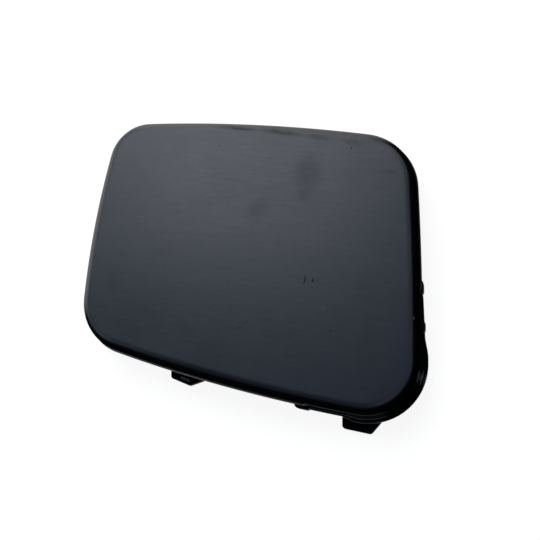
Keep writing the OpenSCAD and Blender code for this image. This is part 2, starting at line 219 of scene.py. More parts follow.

# Changes, by the way that a place on the outline faces, of the painted shade and the
# painted highlight lines: the part of its outward direction that points right, left or
# down at which each starts, and over how much it runs
LIT_LEAN = (0.5, -1.3, 1.5)
LIT_STOPS_RIGHT = (0.14, 0.42)
LIT_STOPS_DOWN = (0.1, 0.4)
LATE_RIGHT = (0.1, 0.6)
LATE_LEFT, LATE_LEFT_SHARE = (0.14, 0.12), 0.65
EARLY_LEFT, EARLY_LEFT_SHARE = (0.45, 0.3), 0.6
LINE_DOWN = (0.85, 0.1)
LINE_LEFT, LINE_LEFT_MORE = (0.12, 0.1), 1.3
LINE_RIGHT, LINE_RIGHT_LIGHT = (0.6, 0.2), 0.4
# A painted highlight spot low on the flange: its outward angle and width in degrees, and
# strength
SPOT_AT, SPOT_WIDTH, SPOT_LIGHT = -9.0, 5.0, 3.0

# Marks on the face: place, half length and half width in metres, turn in radians,
# softness and strength
SMUDGES = [
    ((0.0134, 0.0280), (0.0062, 0.0078), -0.20, 0.9, 0.20),
    ((0.0134, 0.0217), (0.0036, 0.0046), 0.20, 0.9, 0.15),
    ((0.0004, 0.0157), (0.0058, 0.0042), 0.30, 0.9, 0.17),
    ((-0.0106, 0.0409), (0.0085, 0.0011), -0.06, 0.8, 0.48),
    ((0.0037, 0.0403), (0.0095, 0.0014), -0.07, 0.8, 0.42),
    ((0.0149, 0.0394), (0.0060, 0.0012), -0.08, 0.8, 0.30),
    ((0.0253, 0.0385), (0.0050, 0.0014), -0.15, 0.8, 0.22),
    ((-0.0414, -0.0109), (0.0040, 0.0062), 0.30, 0.9, 0.11),
    ((-0.0277, -0.0185), (0.0085, 0.0032), -0.45, 0.9, 0.11),
    ((-0.0156, -0.0220), (0.0075, 0.0030), -0.50, 0.9, 0.13),
    ((0.0372, 0.0303), (0.0034, 0.0007), -0.10, 0.8, 0.25),
    ((0.0373, -0.0227), (0.0060, 0.0080), 0.00, 0.9, 0.09),
    ((0.0339, -0.0042), (0.0040, 0.0070), 0.00, 0.9, 0.08),
]
SCRATCHES = [
    ((0.0173, -0.0043), (0.0019, 0.00026), -1.61, 0.6, 0.80),
    ((0.0197, -0.0041), (0.0010, 0.00030), -1.63, 0.6, 0.85),
    ((0.0211, -0.0039), (0.0010, 0.00014), -1.63, 0.6, 0.35),
    ((0.0156, -0.0042), (0.0010, 0.00012), -1.62, 0.6, 0.22),
    ((0.0004, -0.0199), (0.0013, 0.00014), 0.57, 0.6, 0.55),
    ((0.0019, -0.0184), (0.0015, 0.00014), 0.90, 0.6, 0.60),
    ((0.0252, 0.0366), (0.0006, 0.00020), -1.43, 0.6, 0.60),
    ((0.0266, -0.0179), (0.0006, 0.00030), -1.44, 0.6, 0.40),
    ((-0.0154, 0.0348), (0.0005, 0.00020), -0.68, 0.6, 0.35),
    ((0.0277, 0.0091), (0.0008, 0.00012), -1.13, 0.6, 0.40),
]
NICKS = [
    ((0.0489, -0.0115), (0.0006, 0.00022), -1.46, 0.6, 0.80),
]

# Room, in metres
FLOOR_MATT = 0.18
FLOOR_GLOW = 0.9
FLOOR_R = 2.0
FLOOR_RING = 0.5
COVE_R = 0.4
COVE_STEPS = 13
BACKDROP_H = 1.1
AROUND_STEP = 3
LIGHTS = [  # name, direction, distance, width and height, glow, colour
    ("window_light", (-0.41, 0.62, 1.0), 1.5, (0.95, 0.8), 6.1, (0.95, 1.0, 1.06)),
    ("far_wall", (-0.4, 1.0, 0.27), 1.6, (1.9, 0.7), 2.4, (1.12, 1.0, 0.86)),
    ("left_wall", (-1.0, 0.25, 0.28), 1.5, (0.8, 0.7), 2.3, (1.08, 1.0, 0.9)),
    ("low_front", (-0.25, -0.9, 0.42), 1.5, (2.0, 0.5), 1.4, (1.0, 1.0, 1.0)),
]
SKY_COLOUR, SKY_STRENGTH = (0.7, 0.85, 1.0, 1), 0.08
CAMERA_RIGHT = (0.96015418, 0.14949356, -0.23612629)
CAMERA_UP = (-0.09127117, 0.96631192, 0.24064673)
CAMERA_BACK = (0.26414679, -0.20950644, 0.94145288)
CAMERA_AT = (0.075113, -0.056568, 0.259183)
SENSOR_WIDTH, FOCAL_LENGTH = 36.0, 60.0
NEAR_CLIP = 0.01

# Plan


def heading(v):
    """Angle of plane vectors from +X, in radians."""
    v = np.asarray(v, float)
    return np.arctan2(v[..., 1], v[..., 0])


def polar(r, a):
    """Plane vectors of length r at angle a."""
    return np.stack([r * np.cos(a), r * np.sin(a)], -1)


def edge_arc(i):
    """Radius, centre and facing angle of an edge: the circle through two corner points
    whose height over their chord is the edge's bow."""
    a, b = CORNER[i], CORNER[(i + 1) % 4]
    chord = np.hypot(*(b - a))
    r = (chord**2 / 4 + BOW[i] ** 2) / (2 * BOW[i])
    facing = heading(b - a) - np.pi / 2
    return r, (a + b) / 2 + polar(BOW[i] - r, facing), facing


def corner_arc(i):
    """Centre of the corner circle that touches both its edges' circles from inside,
    and the angles at which it leaves one and meets the other."""
    ra, ca, _ = edge_arc((i + 3) % 4)
    rb, cb, _ = edge_arc(i)
    ra, rb = ra - CORNER_R[i], rb - CORNER_R[i]
    d = np.hypot(*(cb - ca))
    along = (ra**2 - rb**2 + d**2) / (2 * d)
    across = np.sqrt(max(0.0, ra**2 - along**2))
    e = (cb - ca) / d
    side = across * np.array([-e[1], e[0]])
    foot = ca + along * e
    near = min(foot + side, foot - side, key=lambda p: np.hypot(*(p - CORNER[i])))
    start, end = heading(near - ca), heading(near - cb)
    return near, start, end if end >= start else end + 2 * np.pi


def on_edge(i, d):
    """Places on an edge, d millimetres from its middle: x, y and the outward angle,
    which is the facing angle plus d over the edge's radius."""
    r, c, facing = edge_arc(i)
    a = facing + np.asarray(d, float) / r
    return np.concatenate([c + polar(r, a), np.expand_dims(a, -1)], -1)


def on_corner(i, t):
    """Places on a corner, t from 0 to 1 along its arc."""
    c, start, end = corner_arc(i)
    a = start + (end - start) * np.asarray(t, float)
    return np.concatenate([c + polar(CORNER_R[i], a), a[:, None]], -1)


def edge_ends(i):
    """Distances from an edge's middle at which its corners' arcs begin."""
    r, _, facing = edge_arc(i)
    turns = np.array([corner_arc(i)[2], corner_arc((i + 1) % 4)[1]]) - facing
    return (turns - 2 * np.pi * np.round(turns / (2 * np.pi))) * r


def round_outline(corner_steps, edge_steps):
    """Places right round the cover: each corner arc, then the wide arc of its edge."""
    parts = []
    for i in range(4):
        parts.append(on_corner(i, np.arange(corner_steps) / corner_steps))
        a, b = edge_ends(i)
        parts.append(on_edge(i, a + (b - a) * np.arange(edge_steps) / edge_steps))
    return np.concatenate(parts)


def ease(t):
    """Smooth step: 3 t squared less 2 t cubed, held at 0 and 1 outside."""
    u = np.clip(t, 0, 1)
    return u * u * (3 - 2 * u)


def rise_over(value, change):
    """Smooth step of a value that starts and runs over what a change gives."""
    start, over = change
    return ease((value - start) / over)


def along_edge(i, angle):
    """Distance from an edge's middle at which its circle faces an outward angle."""
    r, _, facing = edge_arc(i)
    turn = angle - facing
    return (turn - 2 * np.pi * np.round(turn / (2 * np.pi))) * r


def flange_share(places):
    """Share of the flange's full size, which rises from nothing at both its ends."""
    a = np.asarray(places)[..., 2]
    past_start = along_edge(BOTTOM, a) - FLANGE_FROM
    before_end = FLANGE_TO - along_edge(RIGHT, a)
    return ease(np.minimum(past_start, before_end) / FLANGE_RISE)


def flange_reach(places):
    """How far the full flange stands out: its value beside the corner, blended to the
    end's value along the right edge and to the corner's value round the corner."""
    on_bottom = along_edge(BOTTOM, places[..., 2]) - edge_ends(BOTTOM)[1]
    from_corner = edge_ends(RIGHT)[0]
    on_right = along_edge(RIGHT, places[..., 2]) - from_corner
    way = np.clip((on_right - WIDEN_RIGHT) / (FLANGE_TO - from_corner - WIDEN_RIGHT), 0, 1)
    beside = FLANGE_SIDE_OUT * (1 - way) + FLANGE_END_OUT * way
    wide = np.minimum(
        ease((on_bottom + WIDEN_BOTTOM) / WIDEN_BOTTOM),
        ease((WIDEN_RIGHT - on_right) / WIDEN_RIGHT_LEN),
    )
    return beside * (1 - wide) + FLANGE_OUT * wide


def flange_way():
    """Places along the flange: bottom edge, lower right corner, right edge."""
    a = edge_ends(BOTTOM)[1]
    b = edge_ends(RIGHT)[0]
    rise = np.linspace(0, FLANGE_RISE, FLANGE_END_STEPS)
    return np.concatenate(
        [
            on_edge(BOTTOM, FLANGE_FROM + rise[:-1]),
            on_edge(BOTTOM, np.linspace(FLANGE_FROM + FLANGE_RISE, a, FLANGE_STEPS)[:-1]),
            on_corner(RIGHT, np.linspace(0, 1, FLANGE_STEPS)[:-1]),
            on_edge(RIGHT, np.linspace(b, FLANGE_TO - FLANGE_RISE, FLANGE_STEPS)[:-1]),
            on_edge(RIGHT, FLANGE_TO - rise[::-1]),
        ]
    )


def round_centre(before, p, after, r):
    """Centre of the arc of radius r that touches both sides of a corner."""
    u, v = (before - p) / np.hypot(*(before - p)), (after - p) / np.hypot(*(after - p))
    half = np.arccos(u @ v) / 2
    return p + (u + v) / np.hypot(*(u + v)) * (r / np.sin(half))


def lip_corners(w, reach, fall, slant):
    """Four corners of a lip past the wall: x out of the cover, y along its edge."""
    return np.array(
        [
            [BEAD_N, -w / 2],
            [reach - fall, -w / 2 + LIP_INSET],
            [reach, w / 2 - slant],
            [BEAD_N, w / 2],
        ]
    )


def find_middle():
    """The middle of the cover's reach in x and y, over the source's own places."""
    line = round_outline(10, 20)
    low_end, high_end = edge_ends(RIGHT)[0], FLANGE_TO - FLANGE_RISE
    way = np.concatenate(
        [
            on_corner(RIGHT, np.arange(10) / 10),
            on_edge(RIGHT, low_end + np.arange(13) / 12 * (high_end - low_end)),
        ]
    )
    x, y, a = on_edge(BOTTOM, HOOK_RIGHT["at"])
    q = lip_corners(*(HOOK_RIGHT[k] for k in ("w", "reach", "fall", "slant")))
    c = round_centre(q[1], q[2], q[3], LIP_R)
    tip = y + c[0] * np.sin(a) + c[1] * np.cos(a) - LIP_R
    clip = on_edge(LEFT, CLIPS[-1][1])
    left = min(line[:, 0].min() - BEAD_N, clip[0] + BARB_OUT * np.cos(clip[2]))
    right = (way[:, 0] + flange_reach(way) * np.cos(way[:, 2])).max()
    top = line[:, 1].max() + BEAD_N
    return np.array([(left + right) / 2, (tip + top) / 2])


MIDDLE = find_middle()


def drop(p):
    """How far the crown has dropped over plan points: the squared distance from the
    middle over twice the crown's radius."""
    return ((np.asarray(p)[..., :2] - MIDDLE) ** 2).sum(-1) / (2 * CROWN_R)


def seat_depth(i, d):
    """Depth of the seat under an edge: the rim, or the flange's underside."""
    return FLANGE_DEEP * flange_share(on_edge(i, d)) - RIM_DZ


def seat_drop(i, d, w):
    """Deepest seat over a hook or clip of width w, from the crown's top."""
    return max(drop(on_edge(i, d + e)) + seat_depth(i, d + e) for e in (-w / 2, 0, w / 2))


DEEPEST_SEAT = max(seat_drop(BOTTOM, h["at"], h["w"]) for h in (HOOK_LEFT, HOOK_RIGHT))
TOTAL_H = DEEPEST_SEAT + SKIN_GAP + HOOK_T


def crown_z(p):
    """Height of the crowned face over plan points."""
    return TOTAL_H - drop(p)


def catch_z(i, d, w):
    """Height of a lip's or barb's catching face."""
    return TOTAL_H - seat_drop(i, d, w) - SKIN_GAP


# Mesh tools


class Moulding:
    """Gathers closed surfaces, with a sheen and a painted light share for each point, into
    one mesh. The sheen is the share of gloss and colour kept, and where it is low the
    colour is painted shade; the painted light share is how much light grey of a painted
    highlight line a point takes."""

    def __init__(self):
        self.points, self.faces, self.shares, self.count = [], [], [], 0

    def add(self, points, faces, sheen_and_shade=GUSSET_SHEEN, painted_light=0.0):
        points = np.asarray(points, float)
        self.points.append(points)
        self.faces += [np.asarray(f) + self.count for f in faces]
        both = [np.broadcast_to(value, len(points)) for value in (sheen_and_shade, painted_light)]
        self.shares.append(np.stack(both, 1))
        self.count += len(points)

    def make(self, name, material):
        """One object from all that was gathered, its middle over the frame's zero."""
        p = np.concatenate(self.points) - np.array([*MIDDLE, 0.0])
        mesh = bpy.data.meshes.new(name)
        mesh.from_pydata(
            (p * MM).tolist(), [], [tuple(row) for f in self.faces for row in f.tolist()]
        )
        shares = np.concatenate(self.shares).astype(np.float32)
        for label, column in (("sheen_and_shade", 0), ("painted_light", 1)):
            layer = mesh.attributes.new(label, "FLOAT", "POINT")
            layer.data.foreach_set("value", shares[:, column].copy())
        mesh.materials.append(material)
        mesh.update()
        obj = bpy.data.objects.new(name, mesh)
        bpy.context.scene.collection.objects.link(obj)
        mesh.shade_smooth()
        mesh.set_sharp_from_angle(angle=np.radians(SHARP_FROM))
        return obj


def ring_faces(rings, n):
    """Quads between neighbouring closed rings of n points each."""
    j, k = np.meshgrid(np.arange(rings - 1), np.arange(n), indexing="ij")
    a, b = j * n + k, j * n + (k + 1) % n
    return np.stack([a, b, b + n, a + n], -1).reshape(-1, 4)


def fan(centre, first, n, forward=True):
    """Triangles from a centre point to a ring of n points starting at first."""
    k = np.arange(n)
    a, b = first + k, first + (k + 1) % n
    c = np.full(n, centre)
    return np.stack([c, a, b] if forward else [c, b, a], -1)


def rounded(path, radii, steps=SMALL_ARC_STEPS, closed=False):
    """A polyline with its corners rounded: each is an arc of the given radius that
    touches both its sides, in so many steps. An open one keeps its two ends."""
    path = np.asarray(path, float)
    if closed:
        path = np.concatenate([path[-1:], path, path[:1]])
    out = [] if closed else [path[0]]
    for a, p, b, r in zip(path[:-2], path[1:-1], path[2:], radii):
        u, v = (a - p) / np.hypot(*(a - p)), (b - p) / np.hypot(*(b - p))
        half = np.arccos(np.clip(u @ v, -1, 1)) / 2
        if r <= 0 or half > 1.5:
            out.append(p)
            continue
        cut = r / np.tan(half)
        centre = p + (u + v) / np.hypot(*(u + v)) * (r / np.sin(half))
        start, end = p + u * cut - centre, p + v * cut - centre
        t = np.linspace(0, 1, steps + 1)[:, None]
        turn = np.arccos(np.clip(start @ end / r**2, -1, 1))
        arc = (np.sin((1 - t) * turn) * start + np.sin(t * turn) * end) / np.sin(turn)
        out += list(centre + arc)
    if not closed:
        out.append(path[-1])
    return np.array(out)


def prism(polygon, low, high, soften):
    """A closed prism from low to high over a counter-clockwise polygon. Its rims are
    softened: the rings move in and along as a quarter circle of that radius turns."""
    p = np.asarray(polygon, float)
    n = len(p)
    ahead, behind = np.roll(p, -1, 0) - p, p - np.roll(p, 1, 0)
    ahead = ahead / np.hypot(*ahead.T)[:, None]
    behind = behind / np.hypot(*behind.T)[:, None]
    out = np.stack([ahead[:, 1] + behind[:, 1], -ahead[:, 0] - behind[:, 0]], 1)
    out = 2 * out / np.maximum((out**2).sum(1), MITRE_LEAST)[:, None]
    t = np.radians(SOFT_TURNS)
    inset = soften * (1 - np.sin(t))
    step = soften * (1 - np.cos(t))
    insets = np.concatenate([inset, inset[::-1]])
    levels = np.concatenate([low + step, high - step[::-1]])
    ring = p[None] - out[None] * insets[:, None, None]
    level = np.broadcast_to(levels[:, None, None], (len(levels), n, 1))
    points = np.concatenate([ring, level], -1).reshape(-1, 3)
    k = np.arange(n)
    lowest, highest = k[None, ::-1], (k + (len(levels) - 1) * n)[None]
    return points, [ring_faces(len(levels), n), lowest, highest]


def lay_flat(points, i, d):
    """Local x out of the cover, y along the edge and z up, set at a place on an edge."""
    x, y, a = on_edge(i, d)
    out, along = np.array([np.cos(a), np.sin(a)]), np.array([-np.sin(a), np.cos(a)])
    plan = np.array([x, y]) + points[:, :1] * out + points[:, 1:2] * along
    return np.concatenate([plan, points[:, 2:]], 1)


def stand_up(points, shift=0.0):
    """Turns a prism so that its polygon stands: x stays, y becomes the height and the
    prism's own axis runs back along the edge."""
    return np.stack([points[:, 0], shift - points[:, 2], points[:, 1]], 1)


# The shell


def edge_light(places):
    """How much of the thin painted light on ledges, painted highlight lines, a place
    shows by the way it faces: all of it where it faces down, more where it also faces
    left, little where it faces right and none elsewhere, with one painted bright spot low
    on the flange's right side, which is a bell curve over the outward angle."""
    a = np.asarray(places)[..., 2]
    share = flange_share(places)
    left = 1 + LINE_LEFT_MORE * rise_over(-np.cos(a), LINE_LEFT)
    down = rise_over(-np.sin(a), LINE_DOWN) * left
    right = LINE_RIGHT_LIGHT * rise_over(np.cos(a), LINE_RIGHT) * (1 - share)
    spot = SPOT_LIGHT * np.exp(-(((np.degrees(a) - SPOT_AT) / SPOT_WIDTH) ** 2)) * share
    return down + right + spot


def rim_sides(line):
    """By the way that each place faces, its share of the lit upper left, and the share of
    the late fall of the sheen where it isn't lit; they set where the roll keeps its gloss
    and where it turns to painted shade. The lit share is a smooth step over a leaning mix
    of right and up, ended towards the right and downwards. The late share rises to the
    right, and again to the left, where it drops near the corner."""
    across, up = polar(1.0, line[:, 2]).T
    middle, by_right, by_up = LIT_LEAN
    lit = ease(middle + by_right * across + by_up * up)
    lit = lit * (1 - rise_over(across, LIT_STOPS_RIGHT)) * (1 - rise_over(-up, LIT_STOPS_DOWN))
    late = rise_over(across, LATE_RIGHT) + LATE_LEFT_SHARE * rise_over(-across, LATE_LEFT)
    late = late * (1 - EARLY_LEFT_SHARE * rise_over(-across, EARLY_LEFT))
    return lit, late


def section_rows(offset, depth, share, sheens, ledge):
    """Rows of a section from its columns, each spread over all the rows."""
    return np.stack(np.broadcast_arrays(offset, depth, share, *sheens, ledge), 1)


def shell_section(recessed):
    """The shell's section from the top pole to the bottom pole, as columns: offset out
    of the outline, depth from the face, share of the way out from the middle, sheen on
    the lit side, on the right side and below, and ledge, 1 on the bead or shelf.

    The roll is a quarter circle of EDGE_R, and each sheen falls as a smooth step over
    its turn, painted shade that darkens the roll to black; the right one first rises a
    little, a painted highlight. The wall has no sheen and so is painted black, save the
    painted highlight lines on its ledges. Below the roll the wall runs straight to the
    bead, whose outer corner is a quarter circle of BEAD_R. Where it is recessed, the wall
    is set in under the roll and a shelf takes the place of the bead. Inside, a quarter
    circle of INNER_R joins the wall to the back of the face."""
    turn = np.linspace(0, 90, ROLL_STEPS)
    n, z = -EDGE_R * (1 - np.sin(np.radians(turn))), -EDGE_R * (1 - np.cos(np.radians(turn)))
    sheens = [1 - rise_over(turn, fade) for fade in (LIT_FADE, RIGHT_FADE, BELOW_FADE)]
    sheens[1] *= 1 + RIGHT_EDGE * ease(turn / RIGHT_EDGE_TURN)
    if recessed:
        n = np.minimum(n, -RECESS_IN)
        ledge_z, wall_n, edge_n, edge_r = -EDGE_R - RECESS_H, -RECESS_IN, WALL_DRAFT, SHELF_R
        ledge_from = -RECESS_IN + SHELF_IN
    else:
        ledge_z, wall_n, edge_n, edge_r = RIM_DZ + BEAD_H, WALL_DRAFT, BEAD_N, BEAD_R
        ledge_from = WALL_DRAFT
    path = [
        [n[-1], z[-1]],
        [wall_n, ledge_z],
        [edge_n, ledge_z - LEDGE_FALL],
        [edge_n, RIM_DZ],
        [-SKIN, RIM_DZ],
        [-SKIN, -SKIN - INNER_R],
    ]
    wall = rounded(path, [TURN_R, edge_r, RIM_R, RIM_IN_R], WALL_STEPS)[1:-1]
    high = (wall[:, 1] > ledge_z - LEDGE_DEEP) & (wall[:, 1] < ledge_z + LEDGE_OVER)
    ledge = high & (wall[:, 0] > ledge_from)
    t = np.radians(np.linspace(90, 0, INNER_STEPS))
    inner_n, inner_z = -SKIN - INNER_R * (1 - np.sin(t)), -SKIN - INNER_R * (1 - np.cos(t))
    back = [BACK_SHEEN] * 3
    return np.concatenate(
        [
            section_rows(-EDGE_R, 0.0, np.linspace(*FACE_SHARES), [1, 1, 1], 0),
            section_rows(n, z, 1, sheens, 0),
            section_rows(wall[:, 0], wall[:, 1], 1, [0, 0, 0], ledge),
            section_rows(inner_n, inner_z, 1, back, 0),
            section_rows(-SKIN - INNER_R, -SKIN, np.linspace(*BACK_SHARES), back, 0),
        ]
    )


def add_shell(moulding):
    """Rings of the section carried round the outline: a point at share s lies between
    the middle and the outline moved out by the offset, and its height is the crown's
    there plus the depth. Beside the flange the section blends to the recessed one, and
    the sheen, with its painted shade, blends between its three sides by the way that a
    place faces; the ledges add painted highlight lines."""
    line = round_outline(CORNER_STEPS, EDGE_STEPS)
    recess = flange_share(line)
    mix = recess[None, :, None]
    rows = shell_section(False)[:, None] * (1 - mix) + shell_section(True)[:, None] * mix
    offset, depth, share, on_lit, on_right, below, ledge = np.moveaxis(rows, -1, 0)
    out = line[None, :, :2] + polar(offset, line[None, :, 2])
    share = share[..., None]
    plan = MIDDLE * (1 - share) + share * out
    z = crown_z(plan) + depth
    points = np.concatenate([plan, z[..., None]], -1).reshape(-1, 3)
    m, n = z.shape
    poles = np.array([[*MIDDLE, TOTAL_H], [*MIDDLE, TOTAL_H - SKIN]])
    faces = [
        ring_faces(m, n)[:, ::-1],
        fan(m * n, 0, n),
        fan(m * n + 1, (m - 1) * n, n, forward=False),
    ]
    # Painted shade and painted highlight: the sheen darkens the right and lower rolls and
    # walls, and the ledges get more gloss and a light grey
    lit, late = rim_sides(line)
    ledge = ledge * edge_light(line) * (1 - SHELF_DIMMER * recess)
    unlit = on_right * late + below * (1 - late)
    sheen_and_shade = on_lit * lit + unlit * (1 - lit) + LEDGE_SHEEN * ledge
    sheen_and_shade = np.concatenate([sheen_and_shade.ravel(), [1, BACK_SHEEN]])
    painted_light = np.concatenate([ledge.ravel(), [0, 0]])
    moulding.add(np.concatenate([points, poles]), faces, sheen_and_shade, painted_light)


def flange_profile(out):
    """The stepped profile of the flange that stands out so far: its root in the skin, a
    bevelled top inside the bead, an upright face, a ledge half way out, and the foot."""
    step = (WALL_DRAFT + out) / 2
    ledge_z = FLANGE_DZ + FLANGE_STEP_H
    return rounded(
        [
            [-SKIN + FLANGE_ROOT, RIM_DZ + FLANGE_ROOT_UP],
            [step - FLANGE_BEVEL, RIM_DZ + FLANGE_TOP_UP],
            [step, RIM_DZ + FLANGE_TOP_UP - FLANGE_BEVEL],
            [step, ledge_z + LEDGE_FALL],
            [out, ledge_z - LEDGE_FALL],
            [out, FLANGE_DZ],
            [-SKIN + FLANGE_ROOT, FLANGE_DZ],
        ],
        FLANGE_RADII,
    )


def add_flange(moulding):
    """The stepped profile carried along the flange's way: each place's ring is the
    mean of the full profile and one hidden in the wall, weighted by the share. The
    profiles that stand out 1 and 2 mm are blended, or carried on, to the place's reach."""
    way = flange_way()
    one, two = flange_profile(1.0), flange_profile(2.0)
    reach = flange_reach(way)[:, None, None]
    full = one * (2 - reach) + two * (reach - 1)
    n, z = full[..., 0], full[..., 1]
    top = RIM_DZ + FLANGE_TOP_UP - FLANGE_BEVEL
    hidden_z = np.maximum(z, top + HIDDEN_FLAT * (z - FLANGE_DZ))
    hidden = np.stack([np.minimum(n, WALL_DRAFT - HIDDEN_IN), hidden_z], -1)
    share = flange_share(way)[:, None, None]
    ring = hidden * (1 - share) + full * share
    plan = way[:, None, :2] + polar(ring[..., 0], way[:, None, 2])
    height = crown_z(plan) + ring[..., 1]
    points = np.concatenate([plan, height[..., None]], -1).reshape(-1, 3)
    rings, m = height.shape
    ends = np.array([points[:m].mean(0), points[-m:].mean(0)])
    faces = [
        ring_faces(rings, m),
        fan(rings * m, 0, m, forward=False),
        fan(rings * m + 1, (rings - 1) * m, m),
    ]
    step = (WALL_DRAFT + reach[..., 0]) / 2
    upper = (z > RIM_DZ - LEDGE_DEEP) & (n > BEAD_N)
    lower = (z > FLANGE_DZ + STEP_LEDGE_UP) & (n > step + STEP_LEDGE_IN)
    # Painted highlight lines on the flange's two ledges, gloss and light grey by the way they
    # face; the rest has no sheen and is painted black
    ledge = np.where(upper | lower, edge_light(way)[:, None], 0.0)
    sheen_and_shade = np.concatenate([FLANGE_SHEEN * ledge.ravel(), [0, 0]])
    moulding.add(np.concatenate([points, ends]), faces, sheen_and_shade, sheen_and_shade)


# Hooks, clips, stops and ribs


def inside_wall(i, at, t):
    """Local x of the middle of the side wall at distances t along an edge from a place:
    the outline moved in by half the skin, seen from that place."""
    line = round_outline(CORNER_STEPS, EDGE_STEPS)
    line = line[:, :2] - polar(SKIN / 2, line[:, 2])
    x, y, a = on_edge(i, at)
    out, along = polar(1.0, a), polar(1.0, a + np.pi / 2)
    local = np.stack([(line - [x, y]) @ out, (line - [x, y]) @ along], 1)
    near = local[local[:, 0] > -WALL_WITHIN]
    near = near[np.argsort(near[:, 1])]
    return np.interp(t, near[:, 1], near[:, 0])


def add_hook(moulding, at, w, reach, fall, slant, ridge):
    """A leg inside the wall, the lip at its end, two gussets and perhaps a ridge."""
    top = float(crown_z(on_edge(BOTTOM, at)))
    half = w / 2
    lip = catch_z(BOTTOM, at, w)
    foot = lip - HOOK_T
    x0, x1 = -SKIN - HOOK_T / 2, -SKIN + HOOK_T / 2
    t = np.linspace(half, -half, LEG_STEPS)
    outer = np.minimum(x1, inside_wall(BOTTOM, at, t))
    leg = np.concatenate([[[x0, -half]], np.stack([outer, t], 1)[::-1], [[x0, half]]])
    corners = lip_corners(w, reach, fall, slant)
    plan = rounded(
        np.concatenate([[[x0, -half]], corners, [[x0, half]]]),
        [0, 0, LIP_R, LIP_R, LIP_BACK_R, 0],
        PLAN_ARC_STEPS,
        closed=True,
    )
    root = top - SKIN + ROOT_IN
    for polygon, low, high in ((leg, foot + LEG_UP, root), (plan, foot, lip)):
        points, faces = prism(polygon, low, high, HOOK_SOFT)
        # Little sheen paints the hook near black, painted shade, with a touch of painted light
        # grey
        moulding.add(lay_flat(points, BOTTOM, at), faces, HOOK_SHEEN, HOOK_PAINTED_LIGHT)
    near, far = -SKIN - HOOK_T / 4, -SKIN - HOOK_T * 5 / 4 - GUSSET_L
    gusset = [
        [near, foot + GUSSET_UP],
        [near, root],
        [far, root + ROOT_IN],
        [far, top - SKIN - RIB_H],
    ]
    for side in (-1, 1):
        points, faces = prism(gusset, -RIB_T / 2, RIB_T / 2, THIN_SOFT)
        moulding.add(lay_flat(stand_up(points, side * (half - RIB_T)), BOTTOM, at), faces)
    if ridge:
        t = np.radians(np.concatenate([np.linspace(-90, 90, 9), np.linspace(90, 270, 9)]))
        shift = (RIDGE_L - RIDGE_W) / 2
        bar = polar(RIDGE_W / 2, t)
        bar[:9, 0] += shift
        bar[9:, 0] -= shift
        c, s = (corners[2] - corners[1]) / np.hypot(*(corners[2] - corners[1]))
        middle = [(corners[1, 0] + corners[2, 0]) / 2 - RIDGE_IN, 0]
        bar = bar @ np.array([[c, s], [-s, c]]) + middle
        points, faces = prism(bar, lip - RIDGE_DOWN, lip + RIDGE_H, CLIP_SOFT)
        # The ridge takes full gloss and much light grey: a painted highlight streak
        moulding.add(lay_flat(points, BOTTOM, at), faces, RIDGE_SHEEN, RIDGE_PAINTED_LIGHT)


def add_clip(moulding, i, at):
    """A spring arm clear of the wall with its barb, and two gussets behind it."""
    top = float(crown_z(on_edge(i, at)))
    arm = -SKIN - CLIP_GAP
    catch = catch_z(i, at, CLIP_W)
    section = rounded(
        [
            [arm - CLIP_T, top - SKIN / 2],
            [arm - CLIP_T, 0],
            [arm - CLIP_TIP, 0],
            [BARB_OUT, catch - BARB_H],
            [BARB_OUT, catch],
            [arm, catch],
            [arm, top - SKIN / 2],
        ],
        CLIP_RADII,
        closed=True,
    )
    points, faces = prism(section, -CLIP_W / 2, CLIP_W / 2, CLIP_SOFT)
    # Little sheen paints the clip near black, painted shade, with a touch of painted light
    # grey
    moulding.add(lay_flat(stand_up(points), i, at), faces, HOOK_SHEEN, CLIP_PAINTED_LIGHT)
    gusset = [
        [arm - CLIP_T / 2, catch],
        [arm - CLIP_T / 2, top - SKIN / 2],
        [arm - CLIP_T - GUSSET_L, top - SKIN / 2],
        [arm - CLIP_T - GUSSET_L, top - SKIN - RIB_H],
    ]
    for side in (-1, 1):
        points, faces = prism(gusset, -RIB_T / 2, RIB_T / 2, THIN_SOFT)
        moulding.add(lay_flat(stand_up(points, side * (CLIP_W / 2 - RIB_T)), i, at), faces)


def add_stop(moulding, edge, at, w, out):
    """A stop under the rim: a plate with two rounded outer corners."""
    top = float(crown_z(on_edge(edge, at)))
    root = -SKIN + STOP_ROOT
    plan = rounded(
        [[root, -w / 2], [out, -w / 2], [out, w / 2], [root, w / 2]],
        [0, STOP_R, STOP_R, 0],
        PLAN_ARC_STEPS,
        closed=True,
    )
    low, high = top + FLANGE_DZ - STOP_DEEPER, top + RIM_DZ + BEAD_H / 2
    points, faces = prism(plan, low, high, HOOK_SOFT)
    # Little sheen paints the stop near black, painted shade, with a touch of painted light
    # grey
    moulding.add(lay_flat(points, edge, at), faces, HOOK_SHEEN, STOP_PAINTED_LIGHT)


def add_rib(moulding, across, offset):
    """A rib in line with an axis of the plan. It ends inside the wall, where it meets
    the outline moved in by half the skin; its edges follow the crown."""
    line = round_outline(*RIB_OUTLINE)
    inner = line[:, :2] - polar(SKIN / 2, line[:, 2])
    along, other = (0, 1) if across else (1, 0)
    level = MIDDLE[other] + offset
    a, b = inner, np.roll(inner, -1, 0)
    hit = (a[:, other] - level) * (b[:, other] - level) < 0
    t = (level - a[hit, other]) / (b[hit, other] - a[hit, other])
    ends = np.sort(a[hit, along] + t * (b[hit, along] - a[hit, along]))
    s = np.linspace(ends[0], ends[-1], RIB_STEPS)
    plan = np.stack([s, np.full_like(s, level)] if across else [np.full_like(s, level), s], 1)
    z = crown_z(plan)
    low = z - SKIN - RIB_H
    section = np.concatenate([np.stack([s, low], 1), np.stack([s, z - SKIN / 2], 1)[::-1]])
    points, faces = prism(section, -RIB_T / 2, RIB_T / 2, THIN_SOFT)
    if across:
        points = np.stack([points[:, 0], level - points[:, 2], points[:, 1]], 1)
    else:
        points = np.stack([level + points[:, 2], points[:, 0], points[:, 1]], 1)
    moulding.add(points, faces, BACK_SHEEN)


# Finish


